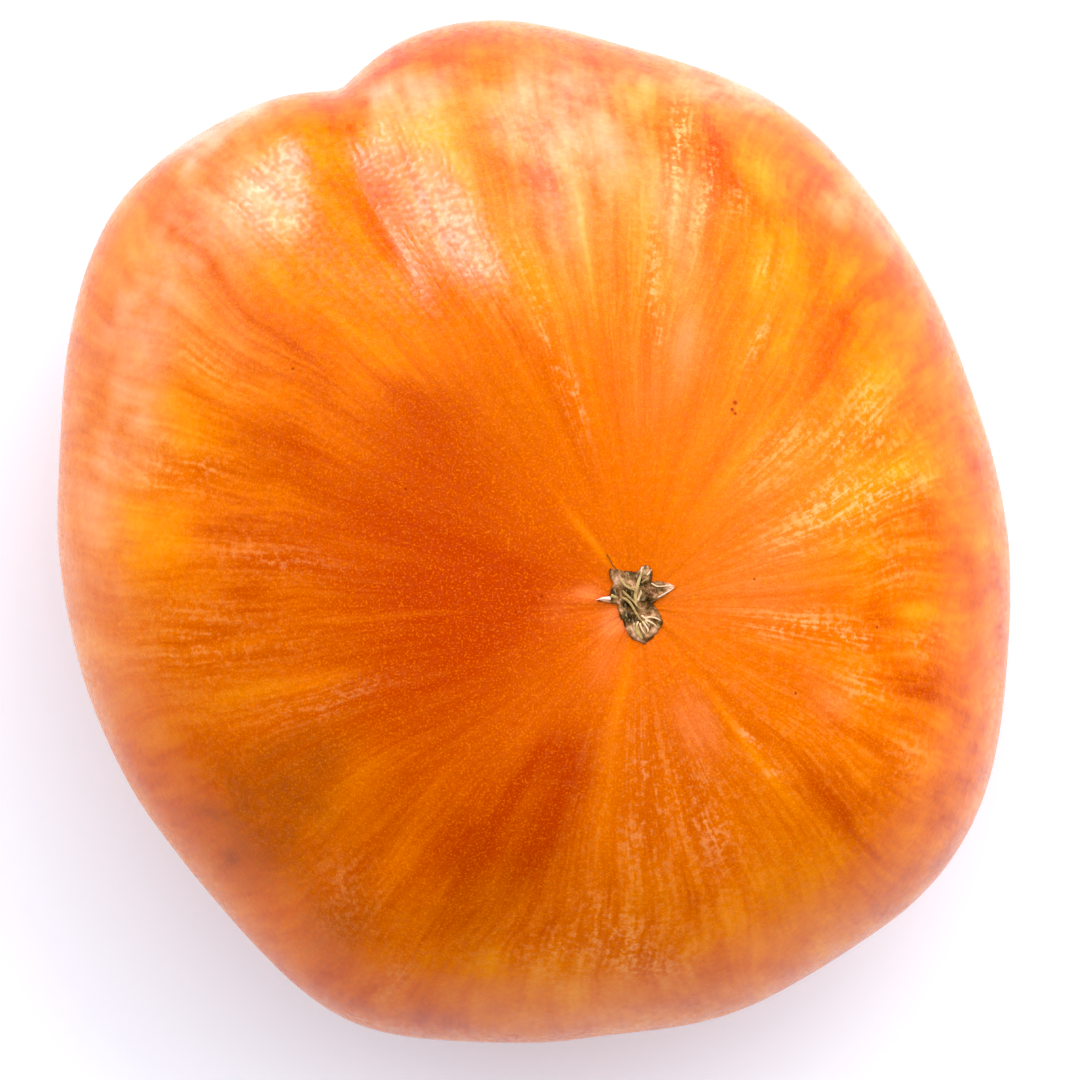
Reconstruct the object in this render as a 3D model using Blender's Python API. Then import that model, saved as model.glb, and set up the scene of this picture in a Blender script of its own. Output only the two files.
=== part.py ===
"""An orange heirloom tomato that rests on the shoulders of its stem end, with its blossom end up."""

import math

import bmesh
import bpy
from mathutils import Vector
from mathutils.bvhtree import BVHTree

# Footprint: an oval with lobes, each an azimuth in degrees, a height and a width in degrees.
HALF_WIDTH = 0.0496
HALF_LENGTH = 0.0508
LOBES = (
    (140, 0.0056, 23),
    (97, 0.0034, 17),
    (63, 0.0014, 13),
    (22, -0.0012, 18),
    (321, 0.0055, 23),
    (290, 0.0026, 14),
    (270, 0.0016, 10),
    (250, 0.0041, 15),
)
CLEFT_AZIMUTH = 113.5
CLEFT_DEPTH = 0.0024
CLEFT_WIDTH = 5.5
VALLEY_POWER = 1.4

# Heights above and below the widest level, and how square the upper and lower profiles are.
CROWN_RISE = 0.0400
SHOULDER_DROP = 0.0335
CROWN_FULLNESS = 2.15
SHOULDER_FULLNESS = 2.6

# The two ends of the fruit's axis, off the middle of the footprint.
BLOSSOM_END = Vector((0.0104, -0.0072))
STEM_END = Vector((-0.0050, 0.0040))

# Stem cavity and blossom dimple, their widths as shares of the way out to the side.
CAVITY_DEPTH = 0.0145
CAVITY_WIDTH = 0.33
DIMPLE_DEPTH = 0.0010
DIMPLE_WIDTH = 0.13

# Furrows: azimuth at the side, azimuth near the crown, depth on the shoulder, depth near the crown, width.
FURROWS = (
    (20, 20, 0.0040, 0.0009, 9),
    (47, 47, 0.0024, 0.0005, 8),
    (78, 76, 0.0032, 0.0005, 9),
    (CLEFT_AZIMUTH, 105, 0.0070, 0.0010, 9),
    (CLEFT_AZIMUTH, 121, 0.0000, 0.0009, 6),
    (168, 168, 0.0046, 0.0006, 9),
    (205, 205, 0.0032, 0.0003, 9),
    (232, 232, 0.0026, 0.0004, 8),
    (268, 268, 0.0042, 0.0004, 9),
    (300, 300, 0.0026, 0.0004, 8),
    (348, 348, 0.0046, 0.0006, 9),
)
SHOULDER_COLATITUDE = 140
SHOULDER_SPREAD = 28
CROWN_COLATITUDE = 52
CROWN_SPREAD = 20

# The lowest rib crests are pressed flat by this much where the fruit rests.
RESTING_FLAT = 0.0006

# Mesh of the fruit: meridians, rings, and how much closer the rings lie near the ends.
MERIDIANS = 88
RINGS = 48
RING_CROWDING = 1.25

# Dried flower remnant: a ragged star, its rays an azimuth, a length past the core and a width in degrees.
CRUST_CORE = 0.0023
CRUST_RAYS = (
    (23, 0.0020, 11),
    (75, 0.0017, 14),
    (134, 0.0020, 20),
    (177, 0.0016, 8),
    (256, 0.0010, 16),
    (282, 0.0020, 18),
    (322, 0.0011, 18),
)
CRUST_THICKNESS = 0.0009
CRUST_VEIN = 0.0004
CRUST_VEIN_WIDTH = 7

# Corky disc where the stalk came away.
CORK_RADIUS = 0.0062
CORK_WAVE = 0.0004
CORK_WAVES = 5
CORK_THICKNESS = 0.0014
CORK_RING_RADIUS = 0.36
CORK_RING_WIDTH = 0.14
CORK_RING_RISE = 0.0007

SEAT_GAP = 0.0003
RAY_START = 0.2


def clear_scene():
    for old in list(bpy.data.objects):
        bpy.data.objects.remove(old, do_unlink=True)


def material(name, colour, roughness):
    made = bpy.data.materials.new(name)
    made.use_nodes = True
    shader = made.node_tree.nodes["Principled BSDF"]
    shader.inputs["Base Color"].default_value = (*colour, 1)
    shader.inputs["Roughness"].default_value = roughness
    shader.inputs["Metallic"].default_value = 0
    made.diffuse_color = (*colour, 1)
    return made


def hump(angle, centre, width, power=2.0):
    """One at the centre azimuth, falling to nothing over the width, all in degrees."""
    away = abs((angle - centre + 180) % 360 - 180)
    return math.exp(-((away / width) ** power))


def outline_radius(azimuth):
    turn = math.radians(azimuth)
    oval = HALF_WIDTH * HALF_LENGTH / math.hypot(HALF_LENGTH * math.cos(turn), HALF_WIDTH * math.sin(turn))
    lobes = sum(height * hump(azimuth, centre, width) for centre, height, width in LOBES)
    cleft = CLEFT_DEPTH * hump(azimuth, CLEFT_AZIMUTH, CLEFT_WIDTH, VALLEY_POWER)
    return oval + lobes - cleft


def furrow_depth(colatitude, azimuth):
    shoulder = math.exp(-(((colatitude - SHOULDER_COLATITUDE) / SHOULDER_SPREAD) ** 2))
    crown = math.exp(-(((colatitude - CROWN_COLATITUDE) / CROWN_SPREAD) ** 2))
    toward_crown = min(1, max(0, (90 - colatitude) / (90 - CROWN_COLATITUDE)))
    depth = 0
    for side, top, on_shoulder, near_crown, width in FURROWS:
        line = side + (top - side) * toward_crown
        valley = hump(azimuth, line, width, VALLEY_POWER)
        depth += (on_shoulder * shoulder + near_crown * crown) * valley
    return depth


def profile(colatitude):
    """Share of the way out to the side, and height from the widest level, before the furrows."""
    turn = math.radians(colatitude)
    if colatitude <= 90:
        out = math.sin(turn) ** (2 / CROWN_FULLNESS)
        rise = CROWN_RISE * max(0, math.cos(turn)) ** (2 / CROWN_FULLNESS)
        return out, rise - DIMPLE_DEPTH * math.exp(-((out / DIMPLE_WIDTH) ** 2))
    out = max(0, math.sin(turn)) ** (2 / SHOULDER_FULLNESS)
    drop = SHOULDER_DROP * (-math.cos(turn)) ** (2 / SHOULDER_FULLNESS)
    return out, CAVITY_DEPTH * math.exp(-((out / CAVITY_WIDTH) ** 2)) - drop


def skin_point(colatitude, azimuth):
    """A point of the skin: each meridian runs from the blossom end over the side to the stem end."""
    out, height = profile(colatitude)
    turn = math.radians(azimuth)
    side = Vector((math.cos(turn), math.sin(turn))) * outline_radius(azimuth)
    swing = 0.5 - 0.5 * math.cos(math.radians(min(180, max(0, 2 * (colatitude - 45)))))
    axis = BLOSSOM_END.lerp(STEM_END, swing)
    plan = axis.lerp(side, out)
    point = Vector((plan.x, plan.y, height))
    return point * (1 - furrow_depth(colatitude, azimuth) / point.length)


def crowded(colatitude):
    """Draws the rings closer together near both ends."""
    if colatitude <= 90:
        return 90 * (colatitude / 90) ** RING_CROWDING
    return 180 - 90 * ((180 - colatitude) / 90) ** RING_CROWDING


def settle(mesh):
    """Centres the footprint, lowers the fruit onto the ground and flattens the rib crests that touch it."""
    xs = [vert.co.x for vert in mesh.verts]
    ys = [vert.co.y for vert in mesh.verts]
    lowest = min(vert.co.z for vert in mesh.verts)
    middle = Vector(((min(xs) + max(xs)) / 2, (min(ys) + max(ys)) / 2, lowest + RESTING_FLAT))
    for vert in mesh.verts:
        vert.co -= middle
        vert.co.z = max(0, vert.co.z)


def finish(mesh, name, look):
    data = bpy.data.meshes.new(name)
    mesh.normal_update()
    bmesh.ops.recalc_face_normals(mesh, faces=mesh.faces)
    mesh.to_mesh(data)
    data.materials.append(look)
    data.shade_smooth()
    made = bpy.data.objects.new(name, data)
    bpy.context.scene.collection.objects.link(made)


def make_fruit():
    mesh = bmesh.new()
    bmesh.ops.create_uvsphere(mesh, u_segments=MERIDIANS, v_segments=RINGS, radius=1)
    for vert in mesh.verts:
        colatitude = crowded(math.degrees(math.acos(max(-1, min(1, vert.co.z)))))
        azimuth = math.degrees(math.atan2(vert.co.y, vert.co.x))
        vert.co = skin_point(colatitude, azimuth)
    settle(mesh)
    finish(mesh, "fruit", material("skin", (0.86, 0.17, 0.006), 0.38))
    tree = BVHTree.FromBMesh(mesh)
    mesh.free()
    return tree


def make_seated(name, tree, centre, facing, radius_at, thickness_at, look, around, across):
    """A thin piece that lies on the skin, kept clear of it by the seat gap. facing is 1 on top, -1 underneath."""
    mesh = bmesh.new()
    bmesh.ops.create_uvsphere(mesh, u_segments=around, v_segments=across, radius=1)
    for vert in mesh.verts:
        azimuth = math.degrees(math.atan2(vert.co.y, vert.co.x))
        share = min(1, math.hypot(vert.co.x, vert.co.y))
        turn = math.radians(azimuth)
        plan = centre + Vector((math.cos(turn), math.sin(turn))) * radius_at(azimuth) * share
        start = Vector((plan.x, plan.y, RAY_START * facing))
        skin = tree.ray_cast(start, Vector((0, 0, -facing)))[0]
        swell = thickness_at(azimuth, share) * (0.5 + 0.5 * vert.co.z)
        vert.co = skin + Vector((0, 0, facing * (SEAT_GAP + swell)))
    finish(mesh, name, look)
    mesh.free()


def crust_radius(azimuth):
    return CRUST_CORE + sum(length * hump(azimuth, centre, width) for centre, length, width in CRUST_RAYS)


def crust_thickness(azimuth, share):
    vein = sum(hump(azimuth, centre, CRUST_VEIN_WIDTH) for centre, _, _ in CRUST_RAYS)
    return CRUST_THICKNESS + CRUST_VEIN * vein * math.sin(math.pi * share)


def cork_radius(azimuth):
    return CORK_RADIUS + CORK_WAVE * math.cos(math.radians(CORK_WAVES * azimuth))


def cork_thickness(azimuth, share):
    ring = math.exp(-(((share - CORK_RING_RADIUS) / CORK_RING_WIDTH) ** 2))
    return CORK_THICKNESS + CORK_RING_RISE * ring


def main():
    clear_scene()
    tree = make_fruit()
    crust = material("dried_flower", (0.17, 0.12, 0.06), 0.85)
    make_seated("blossom_scar", tree, BLOSSOM_END, 1, crust_radius, crust_thickness, crust, 72, 12)
    cork = material("cork", (0.34, 0.21, 0.10), 0.90)
    make_seated("stem_scar", tree, STEM_END, -1, cork_radius, cork_thickness, cork, 48, 12)


main()
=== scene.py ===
import math

import bmesh
import bpy
import numpy as np
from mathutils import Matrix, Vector, noise
from mathutils.bvhtree import BVHTree


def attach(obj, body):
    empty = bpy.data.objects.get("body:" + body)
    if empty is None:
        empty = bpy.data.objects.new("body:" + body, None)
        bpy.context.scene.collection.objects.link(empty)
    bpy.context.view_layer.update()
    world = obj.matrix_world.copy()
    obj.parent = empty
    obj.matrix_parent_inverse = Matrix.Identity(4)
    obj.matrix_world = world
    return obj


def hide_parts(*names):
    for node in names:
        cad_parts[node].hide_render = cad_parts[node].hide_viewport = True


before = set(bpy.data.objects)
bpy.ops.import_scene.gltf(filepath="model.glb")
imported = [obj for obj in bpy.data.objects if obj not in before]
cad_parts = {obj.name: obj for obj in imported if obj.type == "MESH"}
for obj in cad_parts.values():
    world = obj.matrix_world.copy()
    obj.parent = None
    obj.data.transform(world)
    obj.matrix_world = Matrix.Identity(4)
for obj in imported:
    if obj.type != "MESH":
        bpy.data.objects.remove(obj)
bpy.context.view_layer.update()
print("frame loaded:", sorted(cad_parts))

scene = bpy.context.scene
mm = 0.001
up = Vector((0, 0, 1))
weldDistance = 1e-6


# small helpers for nodes

def newLook(name):
    made = bpy.data.materials.new(name)
    made.use_nodes = True
    return made, made.node_tree, made.node_tree.nodes["Principled BSDF"]


def add(tree, kind, sockets=None, **settings):
    node = tree.nodes.new(kind)
    for key, value in settings.items():
        setattr(node, key, value)
    for key, value in (sockets or {}).items():
        plug(tree, node.inputs[key], value)
    return node


def plug(tree, socket, value):
    if isinstance(value, bpy.types.NodeSocket):
        tree.links.new(value, socket)
    else:
        socket.default_value = value


def sums(tree, operation, a, b=0.0, c=0.0):
    return add(tree, "ShaderNodeMath", {0: a, 1: b, 2: c}, operation=operation).outputs[0]


def noisy(tree, where, scale, detail, roughness):
    sockets = {"Vector": where, "Scale": scale, "Detail": detail, "Roughness": roughness}
    return add(tree, "ShaderNodeTexNoise", sockets).outputs[0]


def streaked(tree, where, stretch, shift, detail, roughness):
    sockets = {"Vector": where, "Scale": stretch, "Location": (shift, shift, shift)}
    return noisy(tree, add(tree, "ShaderNodeMapping", sockets).outputs[0], 1.0, detail, roughness)


def between(tree, value, low, high, toLow=0.0, toHigh=1.0):
    sockets = {"Value": value, "From Min": low, "From Max": high, "To Min": toLow, "To Max": toHigh}
    return add(tree, "ShaderNodeMapRange", sockets, interpolation_type="SMOOTHSTEP").outputs[0]


def blend(tree, factor, a, b, kind="MIX"):
    node = add(tree, "ShaderNodeMix", data_type="RGBA", blend_type=kind, clamp_result=False)
    for index, value in ((0, factor), (6, a), (7, b)):
        plug(tree, node.inputs[index], value)
    return node.outputs[2]


def ramp(tree, factor, stops):
    node = add(tree, "ShaderNodeValToRGB", {0: factor})
    points = node.color_ramp.elements
    while len(points) < len(stops):
        points.new(0.5)
    for point, (place, colour) in zip(points, stops):
        point.position = place
        point.color = (*colour, 1)
    return node.outputs[0]


def painted(tree, name, output="Fac"):
    return add(tree, "ShaderNodeAttribute", attribute_name=name, attribute_type="GEOMETRY").outputs[output]


def swing(tree, pattern, amount):
    return sums(tree, "MULTIPLY", sums(tree, "SUBTRACT", pattern, 0.5), amount)


def layered(tree, colour, patterns, layers):
    for name, low, high, atLow, atHigh, tint in layers:
        colour = blend(tree, between(tree, patterns[name], low, high, atLow, atHigh), colour, tint)
    return colour


def bumped(tree, height, strength, distance, normal=None):
    sockets = {"Height": height, "Strength": strength, "Distance": distance}
    if normal:
        sockets["Normal"] = normal
    return add(tree, "ShaderNodeBump", sockets).outputs[0]


def coat(tree, shader, colour, roughness, specular, normal):
    plug(tree, shader.inputs["Base Color"], colour)
    plug(tree, shader.inputs["Roughness"], roughness)
    plug(tree, shader.inputs["Specular IOR Level"], specular)
    plug(tree, shader.inputs["Normal"], normal)


def paintOn(data, name, values):
    layer = data.attributes.new(name, "FLOAT", "POINT")
    layer.data.foreach_set("value", np.asarray(values, np.float32))


# small helpers for meshes

def hump(angle, centre, width, power=2.0):
    away = abs((angle - centre + 180) % 360 - 180)
    return math.exp(-((away / width) ** power))


def fade(value, low, high):
    share = min(1.0, max(0.0, (value - low) / (high - low)))
    return share * share * (3 - 2 * share)


def mounds(plan, spots):
    total = 0
    for x, y, reach, amount in spots:  # in mm
        away = (plan - Vector((x, y)) * mm).length / (reach * mm)
        total += amount * math.exp(-away * away)
    return total


def shellGrid(around, along):
    mesh = bmesh.new()  # x runs once round the shell, y from its top pole down to its bottom pole
    bmesh.ops.create_grid(mesh, x_segments=around, y_segments=along, size=1)
    return mesh


def toObject(mesh, name):
    data = bpy.data.meshes.new(name)
    mesh.normal_update()
    bmesh.ops.recalc_face_normals(mesh, faces=mesh.faces)
    mesh.to_mesh(data)
    mesh.free()
    data.shade_smooth()
    made = bpy.data.objects.new(name, data)
    scene.collection.objects.link(made)
    return made


def finished(piece, look, slot, *nodes):
    piece.data.materials.append(look)
    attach(piece, "root")
    if nodes:
        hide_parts(*nodes)
    print(piece.name + ":", len(piece.data.polygons), "faces")


# the fruit's skin: the same ribs, cleft and hollows as the CAD solid on a finer mesh, and a few soft swells
# on the crown that the solid doesn't have

skin = {
    "meridians": 360,
    "rings": 238,
    "crowding": 1.25,
    "halfWidth": 49.6 * mm,
    "halfLength": 50.8 * mm,
    "lobes": (  # azimuth, height and width in degrees
        (140, 5.6 * mm, 23), (97, 3.4 * mm, 17), (63, 1.4 * mm, 13), (22, -1.2 * mm, 18),
        (321, 5.5 * mm, 23), (290, 2.6 * mm, 14), (270, 1.6 * mm, 10), (250, 4.1 * mm, 15),
    ),
    "cleft": (113.5, 2.4 * mm, 5.5),  # azimuth, depth and width in degrees
    "cleftEnd": (50, 82),  # colatitudes between which the cleft dies out on the crown
    "valleyPower": 1.4,
    "crownRise": 40 * mm,
    "shoulderDrop": 33.5 * mm,
    "crownFullness": 2.15,
    "shoulderFullness": 2.6,
    "blossomEnd": Vector((10.4, -7.2)) * mm,
    "stemEnd": Vector((-5.0, 4.0)) * mm,
    "axisTurn": 45,  # colatitude where the axis starts to lean towards the stem end
    "cavity": (14.5 * mm, 0.33),  # depth, and width as a share of the way out
    "dimple": (1.0 * mm, 0.13),
    "furrows": (  # azimuth at the side, azimuth near the crown, depth on each in mm, and width in degrees
        (20, 20, 4.0, 0.9, 9), (47, 47, 2.4, 0.5, 8), (78, 76, 3.2, 0.5, 9), (113.5, 113.5, 7.0, 0.0, 9),
        (107.5, 103, 0.0, -1.1, 9), (113.5, 118.5, 0.0, 1.0, 6), (168, 168, 4.6, 0.6, 9),
        (205, 205, 3.2, 0.3, 9), (232, 232, 2.6, 0.4, 8), (268, 268, 4.2, 0.4, 9), (300, 300, 2.6, 0.4, 8),
        (348, 348, 4.6, 0.6, 9),
    ),
    "shoulderBand": (140, 28),  # colatitude and spread
    "crownBand": (52, 20),
    "restingFlat": 0.6 * mm,
    "rayStart": 0.2,  # rays that look for the skin start this far above or below the ground, in metres
    "lumps": ((15 * mm, 0.28 * mm), (5 * mm, 0.05 * mm)),  # size and height
    "smoothStem": (4, 30),  # degrees from the stem end over which the lumps set in
    "swells": (  # x, y, reach and height in mm
        (-25.3, 43.9, 9.9, 3.9), (-3.7, 36.4, 11.6, -1.0), (0.2, 22.3, 12.7, 3.8), (-27.3, 37.6, 6.0, -1.2),
    ),
    "swellEdge": (0, 12),  # degrees above the widest level over which the swells set in
    "puckers": 7,
    "puckerReach": 9 * mm,
    "puckerHeight": 0.14 * mm,
    "grainUnit": 45,  # degrees down a meridian for one unit of the grain
    "sway": ((14 * mm, 0.05), (4 * mm, 0.008)),  # how the streaks wander, in radians
    "drift": (10 * mm, 0.12),  # and how they slip along the meridians
}


def outlineRadius(azimuth):
    turn = math.radians(azimuth)
    wide, long = skin["halfWidth"], skin["halfLength"]
    oval = wide * long / math.hypot(long * math.cos(turn), wide * math.sin(turn))
    return oval + sum(height * hump(azimuth, centre, width) for centre, height, width in skin["lobes"])


def cleftDepth(colatitude, azimuth):
    centre, depth, width = skin["cleft"]
    return depth * hump(azimuth, centre, width, skin["valleyPower"]) * fade(colatitude, *skin["cleftEnd"])


def furrowDepth(colatitude, azimuth):
    middle, spread = skin["shoulderBand"]
    shoulder = math.exp(-(((colatitude - middle) / spread) ** 2))
    middle, spread = skin["crownBand"]
    crown = math.exp(-(((colatitude - middle) / spread) ** 2))
    towardCrown = min(1, max(0, (90 - colatitude) / (90 - middle)))
    depth = 0
    for side, top, onShoulder, nearCrown, width in skin["furrows"]:
        valley = hump(azimuth, side + (top - side) * towardCrown, width, skin["valleyPower"])
        depth += (onShoulder * shoulder + nearCrown * crown) * valley * mm
    return depth


def profile(colatitude):
    turn = math.radians(colatitude)
    if colatitude <= 90:
        power = 2 / skin["crownFullness"]
        out = math.sin(turn) ** power
        depth, width = skin["dimple"]
        rise = skin["crownRise"] * max(0, math.cos(turn)) ** power
        return out, rise - depth * math.exp(-((out / width) ** 2))
    power = 2 / skin["shoulderFullness"]
    out = max(0, math.sin(turn)) ** power
    depth, width = skin["cavity"]
    return out, depth * math.exp(-((out / width) ** 2)) - skin["shoulderDrop"] * (-math.cos(turn)) ** power


def skinPoint(colatitude, azimuth, reach):
    out, height = profile(colatitude)
    turn = math.radians(azimuth)
    side = Vector((math.cos(turn), math.sin(turn))) * (reach - cleftDepth(colatitude, azimuth))
    lean = 0.5 - 0.5 * math.cos(math.radians(min(180, max(0, 2 * (colatitude - skin["axisTurn"])))))
    plan = skin["blossomEnd"].lerp(skin["stemEnd"], lean).lerp(side, out)
    point = Vector((plan.x, plan.y, height))
    return point * (1 - furrowDepth(colatitude, azimuth) / point.length)


def relief(point, colatitude):
    rise = sum(noise.noise(point / size) * height for size, height in skin["lumps"])
    ray = point.xy - skin["blossomEnd"]
    away = ray.length
    if point.z > 0 and away > 0:
        around = ray / away * skin["puckers"]
        fold = noise.noise(Vector((around.x, around.y, away / skin["puckerReach"])))
        rise += fold * skin["puckerHeight"] * math.exp(-((away / skin["puckerReach"]) ** 2))
    return rise * fade(180 - colatitude, *skin["smoothStem"])


def swell(point, colatitude):
    return up * mounds(point.xy, skin["swells"]) * mm * fade(90 - colatitude, *skin["swellEdge"])


def makeSkin():
    mesh = shellGrid(skin["meridians"], skin["rings"])
    grain = mesh.verts.layers.float_vector.new("grain")  # runs round the fruit and down its meridians
    crowd = skin["crowding"]
    reaches = {}
    for vert in mesh.verts:
        azimuth, colatitude = 180 * vert.co.x, 90 * (1 - vert.co.y)
        if colatitude <= 90:
            colatitude = 90 * (colatitude / 90) ** crowd
        else:
            colatitude = 180 - 90 * max(0, (180 - colatitude) / 90) ** crowd
        if azimuth not in reaches:
            reaches[azimuth] = outlineRadius(azimuth)
        point = skinPoint(colatitude, azimuth, reaches[azimuth])
        vert.co = point * (1 + relief(point, colatitude) / point.length) + swell(point, colatitude)
        turn = math.radians(azimuth)
        for size, amount in skin["sway"]:
            turn += amount * noise.noise(point / size)
        size, amount = skin["drift"]
        along = colatitude / skin["grainUnit"] + amount * noise.noise(point / size)
        vert[grain] = (math.cos(turn), math.sin(turn), along)
    bmesh.ops.remove_doubles(mesh, verts=mesh.verts, dist=weldDistance)
    xs = [vert.co.x for vert in mesh.verts]
    ys = [vert.co.y for vert in mesh.verts]
    lowest = min(vert.co.z for vert in mesh.verts)
    middle = Vector(((min(xs) + max(xs)) / 2, (min(ys) + max(ys)) / 2, lowest + skin["restingFlat"]))
    for vert in mesh.verts:
        vert.co -= middle
        vert.co.z = max(0, vert.co.z)
    tree = BVHTree.FromBMesh(mesh)
    return toObject(mesh, "tomato_skin"), tree


def onSkin(x, y, facing=1):
    return skinTree.ray_cast(Vector((x, y, skin["rayStart"] * facing)), -up * facing)[0]


# markings on the skin: each patch is x and y in mm, its reach along the ray from the flower scar, its reach
# across, and its strength. In "tone", gold is above nothing and deep orange below.

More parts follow.
